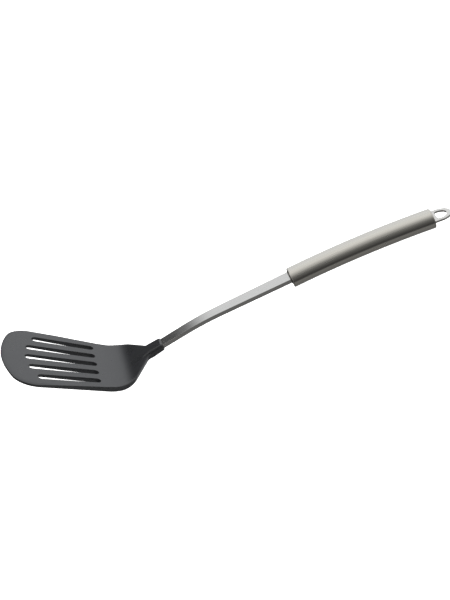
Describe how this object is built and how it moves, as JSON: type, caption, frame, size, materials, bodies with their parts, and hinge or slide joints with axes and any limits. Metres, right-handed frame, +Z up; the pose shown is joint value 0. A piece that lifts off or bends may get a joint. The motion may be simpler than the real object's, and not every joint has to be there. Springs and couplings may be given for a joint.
{
  "type": "grill spatula",
  "caption": "Slotted grill spatula with a moulded black nylon head, a flat bent steel bar, a hollow oval steel handle and a hanging loop.",
  "frame": {"origin": "on the table, under the middle of the tool as it lies at rest on its heel and the rear end of its handle", "axes": "+X from the blade's front edge to the hanging loop, +Y across the blade, +Z up; the tool is symmetric about y = 0"},
  "size_m": [0.3362, 0.087, 0.0525],
  "materials": {
    "black_nylon": "moulded, semi-matt",
    "brushed_bar": "brushed lengthwise",
    "satin_tube": "satin ground",
    "satin_cap": "satin ground",
    "polished_loop": "tumbled bright",
    "weld_metal": "ground weld"
  },
  "bodies": {
    "root": {"head": "black_nylon", "shaft": "brushed_bar", "front_cap": "satin_cap", "handle_tube": "satin_tube", "rear_cap": "satin_cap", "hanging_loop": "polished_loop", "shaft_weld": "weld_metal", "loop_weld": "weld_metal"}
  },
  "joints": []
}
